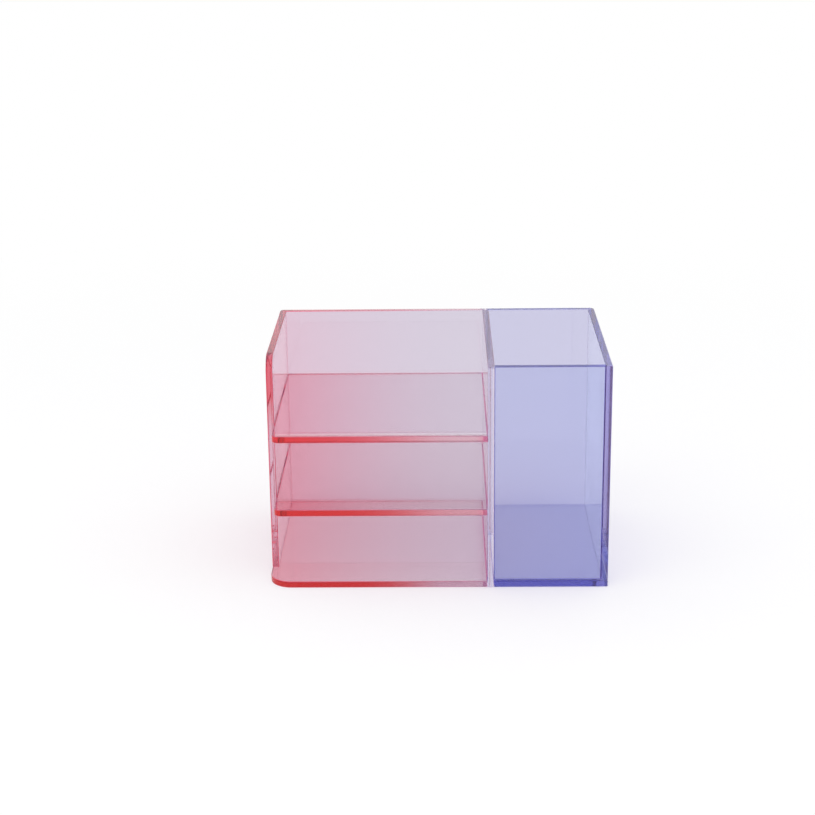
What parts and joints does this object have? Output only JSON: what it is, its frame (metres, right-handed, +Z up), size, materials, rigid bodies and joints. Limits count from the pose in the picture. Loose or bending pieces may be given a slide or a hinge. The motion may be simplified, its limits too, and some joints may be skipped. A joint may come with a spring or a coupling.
{
  "type": "tiered desk organiser",
  "caption": "Desk organiser of tinted clear acrylic sheets, with open stacked tiers for rolls of tape beside a tall bin that is open at the top.",
  "frame": {"origin": "middle of the footprint, on the plane that the organiser stands on", "axes": "+Z up, +X to the viewer's right from the tiers to the bin, +Y from the open front to the back"},
  "size_m": [0.152, 0.1, 0.1032],
  "materials": {
    "red_acrylic": "clear cast sheet tinted red, paler towards the divider, with polished edges",
    "clear_acrylic": "clear cast sheet with polished edges",
    "blue_acrylic": "clear cast sheet tinted blue, with polished edges"
  },
  "bodies": {
    "root": {"tier_floor": "red_acrylic", "lower_shelf": "red_acrylic", "upper_shelf": "red_acrylic", "left_side_wall": "red_acrylic", "tier_back_panel": "red_acrylic", "divider_wall": "clear_acrylic", "bin_floor": "blue_acrylic", "bin_front_panel": "blue_acrylic", "right_side_wall": "blue_acrylic", "bin_back_panel": "blue_acrylic"}
  },
  "joints": []
}
